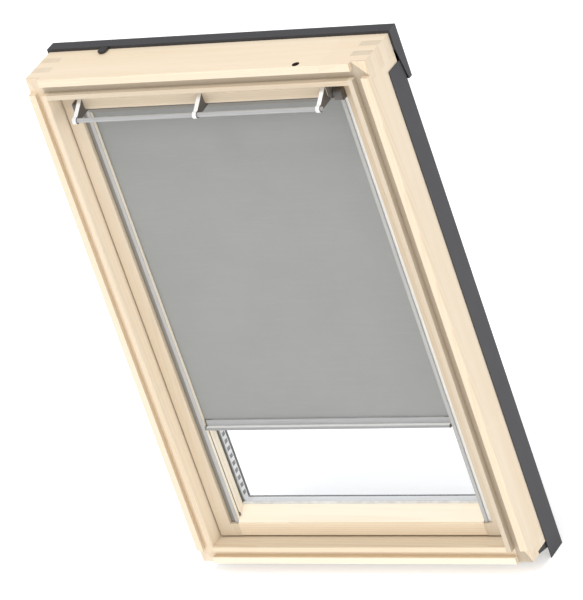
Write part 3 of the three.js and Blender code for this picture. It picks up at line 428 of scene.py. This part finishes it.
def glass():
    """Clear float glass: it lets the view and the light through and mirrors more at a slant."""
    material = bpy.data.materials.new("float_glass")
    material.use_nodes = True
    tree = material.node_tree
    tree.nodes.remove(tree.nodes["Principled BSDF"])
    through = tree.nodes.new("ShaderNodeBsdfTransparent")
    through.inputs["Color"].default_value = (0.99, 0.995, 1.0, 1)
    gloss = tree.nodes.new("ShaderNodeBsdfGlossy")
    gloss.inputs["Roughness"].default_value = 0.02
    slant = tree.nodes.new("ShaderNodeLayerWeight")
    slant.inputs["Blend"].default_value = 0.5
    steep = tree.nodes.new("ShaderNodeMath")
    steep.operation = "POWER"
    steep.inputs[1].default_value = GLANCE_POWER
    mirror = tree.nodes.new("ShaderNodeMath")
    mirror.operation = "MULTIPLY_ADD"
    mirror.inputs[1].default_value = 1 - GLASS_MIRROR
    mirror.inputs[2].default_value = GLASS_MIRROR
    blend = tree.nodes.new("ShaderNodeMixShader")
    tree.links.new(slant.outputs["Facing"], steep.inputs[0])
    tree.links.new(steep.outputs[0], mirror.inputs[0])
    tree.links.new(mirror.outputs[0], blend.inputs[0])
    tree.links.new(through.outputs[0], blend.inputs[1])
    tree.links.new(gloss.outputs[0], blend.inputs[2])
    tree.links.new(blend.outputs[0], tree.nodes["Material Output"].inputs["Surface"])
    return material


def studio_white():
    """The pale floor, a little bright of itself, as a lit studio sweep is."""
    finish = Finish("studio_floor", FLOOR_GREY, 0.9)
    finish.shader.inputs["Emission Color"].default_value = WHITE
    finish.shader.inputs["Emission Strength"].default_value = FLOOR_GLOW
    return finish.material


SATIN_GREY = (0.42, 0.42, 0.42)
# Satin darkened as painted shade, for the casing under the flap and the left rail's lower front
PAINTED_SHADE_SATIN = (0.24, 0.225, 0.20)
# Satin darkened further as painted shade, for the flap's carrier and the arms' cheeks
DEEP_SHADE_SATIN = (0.12, 0.11, 0.10)
BRIGHT_SATIN = (0.80, 0.80, 0.79)

lacquered = lacquer()
zinc_plated = zinc()
weave = cloth()
clear = glass()
rubber = moulded("black_rubber", (0.022, 0.022, 0.023), 0.6)
gasket = moulded("grey_gasket", (0.10, 0.098, 0.09), 0.6)
plastic = moulded("dark_plastic", (0.115, 0.108, 0.104), 0.5)
rail_metal = satin("rail_metal", "Z", (0.44, 0.44, 0.435))
# The left rail's lower front, darkened as painted shade
rail_painted_shade = satin("rail_painted_shade", "Z", PAINTED_SHADE_SATIN)
cross_metal = satin("cross_metal", "X", SATIN_GREY)
# The blind casing under the flap, darkened as painted shade
casing_painted_shade = satin("casing_painted_shade", "X", PAINTED_SHADE_SATIN)
# The flap's carrier, darkened to paint the shade under the flap strip
carrier_painted_shade = satin("carrier_painted_shade", "X", DEEP_SHADE_SATIN)
# The arms' side cheeks, darkened as painted shade and painted dark reflection
cheek_painted_shade = satin("cheek_painted_shade", "Z", DEEP_SHADE_SATIN, 0.5)
cover_inside = moulded("cover_inside", (0.70, 0.71, 0.72), 0.5)
bar_metal = satin("bar_metal", "X", SATIN_GREY, 0.45)
arm_metal = satin("arm_metal", "Z", BRIGHT_SATIN)
spacer_metal = satin("spacer_metal", "X", (0.92, 0.92, 0.92), 0.5, 0.0)
# The right rail's lower front, paled as painted light
rail_painted_light = satin("rail_painted_light", "Z", (0.76, 0.76, 0.74))
plate_metal = satin("plate_metal", "X", (0.38, 0.385, 0.385))
# The front of the pull bar's finger ledge, darkened as painted shade
ledge_painted_shade = satin("ledge_painted_shade", "X", (0.29, 0.29, 0.295))
pale_seal = moulded("pale_seal", (0.62, 0.62, 0.60), 0.6)
slot_shade = moulded("slot_shade", (0.24, 0.24, 0.25), 0.6)
hole_shade = moulded("hole_shade", (0.05, 0.035, 0.025), 0.7)

# Each pine member's grain axis, the line of its pith, and its tone: partly the board's own shade of pine,
# partly painted shade that darkens the recessed sash members, the flap strip and the right jamb
PINE_NODES = {
    "frame_head": ("X", (0.0, 0.03, -1.02), 1.0),
    "frame_sill": ("X", (0.0, 0.01, 0.04), 1.0),
    "frame_jamb_left": ("Z", (0.38, 0.03, 0.0), 1.0),
    "frame_jamb_right": ("Z", (-0.39, 0.02, 0.0), 0.91),
    "sash_stile_left": ("Z", (0.22, 0.0, 0.0), 0.82),
    "sash_stile_right": ("Z", (-0.235, 0.02, 0.0), 0.78),
    "sash_top_rail": ("X", (0.0, 0.02, -0.87), 0.94),
    "sash_bottom_rail": ("X", (0.0, -0.09, -0.02), 0.99),
    "flap_strip": ("X", (0.0, 0.05, -0.88), 0.86),
}

# Painted light and shade on the lip, the groove, the bead and the reveal of each frame member: the lips,
# the sill's groove and the left jamb's reveal paled as painted light; the grooves and beads of the head and
# the jambs and the sill's reveal darkened as painted shade, most in the head's and the right jamb's grooves
FRAME_PAINTED_LIGHT = {
    "frame_head": (1.03, 0.66, 0.80, 1.0),
    "frame_sill": (1.12, 1.02, 1.0, 0.80),
    "frame_jamb_left": (1.03, 0.94, 0.94, 1.1),
    "frame_jamb_right": (1.0, 0.62, 0.77, 1.0),
}
ZONE_INSETS = (
    (-BESIDE, LIP_END),
    (LIP_END, GROOVE_END),
    (GROOVE_END, BEAD_END),
    (BEAD_END, REVEAL_END),
)

# The nodes of each other finish
METAL_NODES = {
    "blind_casing": casing_painted_shade,
    "flap_carrier": carrier_painted_shade,
    "roller_tube": cross_metal,
    "control_bar": bar_metal,
    "glass_spacer": spacer_metal,
}
COVER_NODES = (
    "hood",
    "side_cover_left",
    "side_cover_right",
    "sill_cover",
)
STEEL_NODES = (
    "striker_plate",
    "pivot_socket_left",
    "pivot_socket_right",
    "pivot_arm_left",
    "pivot_arm_right",
    "lock_case",
    "latch_bolt",
    "spring_rod",
)
PLASTIC_NODES = (
    "flap_end_left",
    "flap_end_right",
    "flap_bearing_left",
    "flap_bearing_right",
    "blind_bracket_left",
    "blind_bracket_right",
    "rail_stop_left",
    "rail_stop_right",
    "slide_shoe_left",
    "slide_shoe_right",
    "roller_plug_left",
    "roller_plug_right",
)
RUBBER_NODES = ("sill_seal", "sash_seal_upper", "sash_seal_lower", "flap_seal")


def body_named(node):
    """The body that a CAD node rides on."""
    bodies = frame["record"]["behaviour"]["bodies"]
    return next(name for name, members in bodies.items() if node in members)


def add_object(name, data):
    """A new object of the scene that holds a mesh, a lamp or a camera."""
    made = bpy.data.objects.new(name, data)
    bpy.context.scene.collection.objects.link(made)
    return made


def settle(made):
    """Turns an object's modifiers into plain mesh."""
    bpy.context.view_layer.update()
    evaluated = made.evaluated_get(bpy.context.evaluated_depsgraph_get())
    mesh = bpy.data.meshes.new_from_object(evaluated)
    made.modifiers.clear()
    made.data = mesh


def dress(node, material, edge, *others, cuts=(), reshape=None):
    """The CAD node again, with flat faces whole, eased edges and smooth rounds.

    Each of the others is a material with the test for the faces that get it.
    The cuts are places along X where faces are parted first, and reshape moves each point.
    """
    mesh = frame["nodes"][node].data.copy()
    work = bmesh.new()
    work.from_mesh(mesh)
    bmesh.ops.remove_doubles(work, verts=work.verts, dist=WELD)
    if reshape:
        for vert in work.verts:
            vert.co = reshape(vert.co)
    for x in cuts:
        everything = [*work.verts, *work.edges, *work.faces]
        bmesh.ops.bisect_plane(work, geom=everything, plane_co=(x, 0, 0), plane_no=(1, 0, 0))
    for face in work.faces:
        face.material_index = 0
        for slot, (_, belongs) in enumerate(others, 1):
            if belongs(face):
                face.material_index = slot
    bmesh.ops.dissolve_limit(
        work, angle_limit=FLAT_ANGLE, verts=work.verts, edges=work.edges, delimit={"MATERIAL"}
    )
    mesh.materials.clear()
    mesh.materials.append(material)
    for other, _ in others:
        mesh.materials.append(other)
    work.to_mesh(mesh)
    work.free()
    if "custom_normal" in mesh.attributes:
        mesh.attributes.remove(mesh.attributes["custom_normal"])
    mesh.shade_smooth()
    mesh.set_sharp_from_angle(angle=SHARP_ANGLE)
    made = add_object("dressed_" + node, mesh)
    if edge:
        ease = made.modifiers.new("eased edges", "BEVEL")
        ease.width = edge
        ease.segments = EDGE_SEGMENTS
        ease.limit_method = "ANGLE"
        ease.angle_limit = SHARP_ANGLE
        ease.use_clamp_overlap = True
        even = made.modifiers.new("even shading", "WEIGHTED_NORMAL")
        even.keep_sharp = False
        settle(made)
    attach(made, body_named(node))
    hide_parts(node)


def paint(node, material):
    """A new material on a CAD node that stays as it is."""
    mesh = frame["nodes"][node].data
    mesh.materials.clear()
    mesh.materials.append(material)


def squarely_along(axis):
    """The test for faces that look along an axis, such as a board's end grain."""
    return lambda face: abs(getattr(face.normal, axis.lower())) > SQUARE


def frame_zone(node, low, high):
    """The test for faces between two insets from a frame member's outer edge, its outer side left out."""
    def belongs(face):
        centre = face.calc_center_median()
        inset = {
            "frame_head": FRAME_HEIGHT - centre.z,
            "frame_sill": centre.z,
            "frame_jamb_left": FRAME_WIDTH / 2 + centre.x,
            "frame_jamb_right": FRAME_WIDTH / 2 - centre.x,
        }[node]
        outer_side = inset < BESIDE and face.normal.y > -MOSTLY
        return low < inset < high and not outer_side

    return belongs


def in_keyhole(face):
    """Whether a face is inside the round hole in the head."""
    centre = face.calc_center_median()
    near = Vector((centre.x - KEYHOLE_X, centre.y - y_at(KEYHOLE_DEPTH))).length < KEYHOLE_RADIUS
    return near and centre.z > FRAME_HEIGHT - KEYHOLE_SUNK - BESIDE


def on_bevel(face):
    """Whether a face is on the bottom rail's bevel towards the glass."""
    return face.normal.y < -SLANTED and face.normal.z > SLANTED


def stile_reveal(face):
    """Whether a face is the stile's own edge of the daylight opening."""
    sight_x = FRAME_WIDTH / 2 - SIGHT_INSET
    return abs(face.normal.x) > SQUARE and abs(abs(face.calc_center_median().x) - sight_x) < CLOSE


def rail_reveal(side):
    """The test for faces on a rail's inner side, behind its bright ridge."""
    sight_x = FRAME_WIDTH / 2 - SIGHT_INSET

    def belongs(face):
        centre = face.calc_center_median()
        inner = face.normal.x * side < -SQUARE and abs(abs(centre.x) - sight_x) < TOUCHING
        return inner and centre.y > y_at(RAIL_RIDGE_BACK)

    return belongs


def rail_step(face):
    """Whether a face is the lower half of the rail's front."""
    return face.normal.y < -SQUARE and face.calc_center_median().y > y_at(RAIL_FACE) + BESIDE


def low_run(face):
    """Whether a face is on the room-side gasket's run along the foot of the glass."""
    return face.calc_center_median().z < SEAL_TOP + SEAL_RISE + BESIDE


def cover_lining(face):
    """Whether a face of a sash cover looks into the room or at the glass."""
    centre = face.calc_center_median()
    if face.normal.y < -MOSTLY:
        return True
    inward = Vector((-centre.x, 0, FRAME_HEIGHT / 2 - centre.z))
    sideways = abs(face.normal.x) > MOSTLY
    faces_glass = face.normal.x * inward.x > 0 if sideways else face.normal.z * inward.z > 0
    upright = abs(face.normal.y) < SLANTED
    return upright and faces_glass and centre.y < y_at(COVER_LINING_BACK)


def foot_raised(point):
    """A point of the room-side gasket, with the run at the foot brought up over the spacer's edge."""
    on_foot = abs(point.z - SEAL_TOP) < NEARBY
    return point + Vector((0, 0, SEAL_RISE)) if on_foot else point


def ledge_upside(face):
    """Whether a face is the top of the pull bar's finger ledge."""
    return face.normal.z > SQUARE and abs(face.calc_center_median().z - LEDGE_TOP) < CLOSE


def ledge_front(face):
    """Whether a face is the front of the pull bar's finger ledge."""
    return face.normal.y < -SQUARE and abs(face.calc_center_median().y - y_at(LEDGE_FACE)) < CLOSE


def drawn_back(point):
    """A point of the weather-side glazing trim, drawn back from the daylight opening."""
    half = FRAME_WIDTH / 2

    def clear(inset):
        return TRIM_INSET if TRIM_INSET < inset < TRIM_REACH else inset

    x = half - clear(half - abs(point.x))
    low = clear(point.z)
    high = FRAME_HEIGHT - clear(FRAME_HEIGHT - point.z)
    z = low if point.z < FRAME_HEIGHT / 2 else high
    return Vector((math.copysign(x, point.x), point.y, z))


def bar_cap(face):
    """Whether a face is on one of the pull bar's dark ends."""
    return abs(face.calc_center_median().x) > BAR_CAP_X


def dress_pine():
    """The pine members, with painted light and shade on the frame's zones and painted light on the bottom
    rail's bevel and the stiles' reveals. Returns the finish of each stile's reveal, by side.
    """
    reveals = {}
    for place, (node, (along, pith, tone)) in enumerate(PINE_NODES.items()):
        seed = SEED_STEP * place + FIRST_SEED
        wood = pine("pine_" + node, along, pith, seed, tone)
        zones = []
        # Each zone of a frame member gets its own copy of the pine, paled or darkened as painted light and
        # shade
        for (low, high), zone_painted_light in zip(ZONE_INSETS, FRAME_PAINTED_LIGHT.get(node, ())):
            shade = pine(f"pine_{node}_{len(zones)}", along, pith, seed, zone_painted_light)
            zones.append((shade, frame_zone(node, low, high)))
        # The bevel and the stiles' reveals are bleached paler as painted light
        if node == "sash_bottom_rail":
            zones.append((pine("pine_bevel_painted_light", along, pith, seed, BEVEL_PAINTED_LIGHT), on_bevel))
        if node.startswith("sash_stile"):
            side = node.replace("sash_stile_", "")
            reveals[side] = pine("pine_reveal_painted_light_" + side, along, pith, seed, REVEAL_PAINTED_LIGHT)
            zones.append((reveals[side], stile_reveal))
        ends = pine("end_grain_" + node, along, pith, seed, tone * END_GRAIN_SHARE)
        zones.append((ends, squarely_along(along)))
        zones.append((hole_shade, in_keyhole))
        dress(node, wood, WOOD_EDGE, *zones)
    return reveals


def dress_metal(reveals):
    """The pieces of satin metal, with painted shade on the casing, the flap's carrier, the left rail's
    lower front, the arms' cheeks and the ledge's front, and painted light on the right rail's lower front
    and the ledge's top. The rails' inner sides get the finish of the stiles' reveals, with its painted
    light.
    """
    for node, material in METAL_NODES.items():
        dress(node, material, METAL_EDGE)
    # The lower half of each rail's front is painted: darker on the left as painted shade, paler on the
    # right as painted light
    for name, side, lower in (("left", -1, rail_painted_shade), ("right", 1, rail_painted_light)):
        finishes = ((reveals[name], rail_reveal(side)), (lower, rail_step))
        dress("guide_rail_" + name, rail_metal, METAL_EDGE, *finishes)
    for name in ("left", "middle", "right"):
        # The arms' cheeks, the faces along X, get a dark satin as painted shade
        dress("bar_arm_" + name, arm_metal, METAL_EDGE, (cheek_painted_shade, squarely_along("X")))
    # On the pull bar the ledge's top gets the bright arm satin as painted light, and its front a darker
    # satin as painted shade
    finishes = ((arm_metal, ledge_upside), (ledge_painted_shade, ledge_front), (plastic, bar_cap))
    dress("pull_bar", plate_metal, METAL_EDGE, *finishes, cuts=(-BAR_CAP_X, BAR_CAP_X))


def dress_outdoors():
    """The folded covers, with the sash's own drawn back from the glass."""
    for node in COVER_NODES:
        dress(node, lacquered, METAL_EDGE)
    for name in ("left", "right", "top", "bottom"):
        lining = (cover_inside, cover_lining)
        dress("sash_cover_" + name, lacquered, METAL_EDGE, lining, reshape=drawn_back)


def dress_small_pieces():
    """Steel, plastic, rubber, the panes and the roll of cloth."""
    for node in STEEL_NODES:
        dress(node, zinc_plated, METAL_EDGE)
    dress("balance_spring", zinc_plated, NO_EDGE)
    for node in PLASTIC_NODES:
        dress(node, plastic, PLASTIC_EDGE)
    for node in RUBBER_NODES:
        dress(node, rubber, METAL_EDGE)
    dress("cover_clip", rubber, PLASTIC_EDGE)
    dress("inner_gasket", gasket, NO_EDGE, (pale_seal, low_run), reshape=foot_raised)
    dress("outer_gasket", pale_seal, NO_EDGE, reshape=drawn_back)
    for node in ("inner_pane", "outer_pane"):
        paint(node, clear)
    dress("fabric_roll", weave, NO_EDGE)


def hang_cloth():
    """The cloth from the roll through the casing's slot to the bar, straight between them."""
    half = FRAME_WIDTH / 2 - SIGHT_INSET
    slot_z = z_below(CASING_FOOT)
    face = FABRIC_DEPTH - CLOTH_THICK / 2
    reach = ROLL_RADIUS + CLOTH_THICK + SEAT_GAP
    across = ROLLER_DEPTH - face
    down = CASING_FOOT - ROLLER_INSET
    span = math.hypot(across, down)
    lead = math.sqrt(span * span - reach * reach)
    lean = math.asin(reach / span) - math.atan2(across, down)
    top = (face - lead * math.sin(lean), slot_z + lead * math.cos(lean))
    foot_z = BAR_TOP + SEAT_GAP
    rows = [top, (face, slot_z), (face, foot_z)]
    edge = half + FABRIC_IN_RAIL
    narrow = half - SLOT_NARROWING
    columns = [-edge, -narrow, narrow, edge]

    work = bmesh.new()
    grid = []
    for row, (depth, z) in enumerate(rows):
        line = []
        for x in columns:
            lowered = z - SHOULDER_DROP if row == 1 and abs(x) > narrow else z
            line.append(work.verts.new((x, y_at(depth + CLOTH_THICK / 2), lowered)))
        grid.append(line)
    for row in range(len(rows) - 1):
        for column in range(len(columns) - 1):
            if row == 0 and column != 1:
                continue
            above = grid[row][column:column + 2]
            below = grid[row + 1][column:column + 2]
            work.faces.new((*above, *reversed(below)))
    for vert in [corner for corner in work.verts if not corner.link_faces]:
        work.verts.remove(vert)
    bmesh.ops.recalc_face_normals(work, faces=work.faces)
    mesh = bpy.data.meshes.new("blackout_cloth")
    work.to_mesh(mesh)
    work.free()
    mesh.materials.append(weave)
    made = add_object("blackout_cloth", mesh)
    wall = made.modifiers.new("cloth thickness", "SOLIDIFY")
    wall.thickness = CLOTH_THICK
    wall.offset = 0
    settle(made)
    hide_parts("blind_fabric")
    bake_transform(made)


def slot_row_tree():
    """Geometry Nodes: a row of small plates between two ends at an even pitch."""
    tree = bpy.data.node_groups.new("slot_row", "GeometryNodeTree")
    tree.interface.new_socket("Geometry", in_out="OUTPUT", socket_type="NodeSocketGeometry")
    for name in ("Start", "End", "Plate"):
        tree.interface.new_socket(name, in_out="INPUT", socket_type="NodeSocketVector")
    tree.interface.new_socket("Pitch", in_out="INPUT", socket_type="NodeSocketFloat")
    tree.interface.new_socket("Finish", in_out="INPUT", socket_type="NodeSocketMaterial")
    nodes = tree.nodes
    links = tree.links
    entry = nodes.new("NodeGroupInput").outputs
    line = nodes.new("GeometryNodeCurvePrimitiveLine")
    points = nodes.new("GeometryNodeCurveToPoints")
    points.mode = "LENGTH"
    plate = nodes.new("GeometryNodeMeshCube")
    laid = nodes.new("GeometryNodeInstanceOnPoints")
    real = nodes.new("GeometryNodeRealizeInstances")
    finish = nodes.new("GeometryNodeSetMaterial")
    leave = nodes.new("NodeGroupOutput")
    links.new(entry["Start"], line.inputs["Start"])
    links.new(entry["End"], line.inputs["End"])
    links.new(line.outputs["Curve"], points.inputs["Curve"])
    links.new(entry["Pitch"], points.inputs["Length"])
    links.new(entry["Plate"], plate.inputs["Size"])
    links.new(points.outputs["Points"], laid.inputs["Points"])
    links.new(plate.outputs["Mesh"], laid.inputs["Instance"])
    links.new(laid.outputs["Instances"], real.inputs["Geometry"])
    links.new(real.outputs["Geometry"], finish.inputs["Geometry"])
    links.new(entry["Finish"], finish.inputs["Material"])
    links.new(finish.outputs["Geometry"], leave.inputs["Geometry"])
    return tree


def pierce_spacer():
    """The vent slots of the spacer's two uprights, as thin dark plates on them."""
    tree = slot_row_tree()
    sockets = [item for item in tree.interface.items_tree if item.in_out == "INPUT"]
    keys = {socket.name: socket.identifier for socket in sockets}
    inset = SIGHT_INSET + SPACER_SHOW
    half = FRAME_WIDTH / 2 - inset
    low = inset + SLOT_PITCH
    high = FRAME_HEIGHT - low
    y = y_at(SPACER_FACE + SPACER_THICK / 2)
    plate = (2 * SLOT_PROUD, SLOT_HEIGHT, SLOT_LENGTH)
    for name, x in (("left", -half), ("right", half)):
        made = add_object("spacer_slots_" + name, bpy.data.meshes.new("spacer_slots_" + name))
        row = made.modifiers.new("slot row", "NODES")
        row.node_group = tree
        row[keys["Start"]] = (x, y, low)
        row[keys["End"]] = (x, y, high)
        row[keys["Plate"]] = plate
        row[keys["Pitch"]] = SLOT_PITCH
        row[keys["Finish"]] = slot_shade
        settle(made)
        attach(made, "sash")


def add_camera():
    camera = add_object("photo_camera", bpy.data.cameras.new("photo_camera"))
    turned = Matrix((CAMERA_RIGHT, CAMERA_UP, CAMERA_BACK)).transposed().to_4x4()
    camera.matrix_world = Matrix.Translation(CAMERA_PLACE) @ turned
    camera.data.lens = CAMERA_LENS
    camera.data.sensor_width = SENSOR
    camera.data.clip_end = CAMERA_FAR
    bpy.context.scene.camera = camera


def add_lamp(name, place, power):
    """A soft square lamp that looks at the middle of the window."""
    lamp = bpy.data.lights.new(name, "AREA")
    lamp.shape = "SQUARE"
    lamp.size = LAMP_SIZE
    lamp.energy = power
    made = add_object(name, lamp)
    made.location = place
    made.rotation_euler = (Vector(LAMP_TARGET) - Vector(place)).to_track_quat("-Z", "Y").to_euler()


def add_studio():
    scene = bpy.context.scene
    scene.view_settings.view_transform = "Standard"
    world = bpy.data.worlds.new("studio_world")
    scene.world = world
    world.use_nodes = True
    background = world.node_tree.nodes["Background"]
    background.inputs["Color"].default_value = WHITE
    background.inputs["Strength"].default_value = WORLD_STRENGTH
    for name, (place, power) in LAMPS.items():
        add_lamp(name, place, power)

    floor = bpy.data.meshes.new("studio_floor")
    low = cad_low.z - FLOOR_GAP
    corners = [(-1, -1), (1, -1), (1, 1), (-1, 1)]
    floor.from_pydata([(x * FLOOR_HALF, y * FLOOR_HALF, low) for x, y in corners], [], [(0, 1, 2, 3)])
    floor.materials.append(studio_white())
    add_object("studio_floor", floor)


add_camera()
add_studio()
dress_metal(dress_pine())
dress_outdoors()
dress_small_pieces()
hang_cloth()
pierce_spacer()
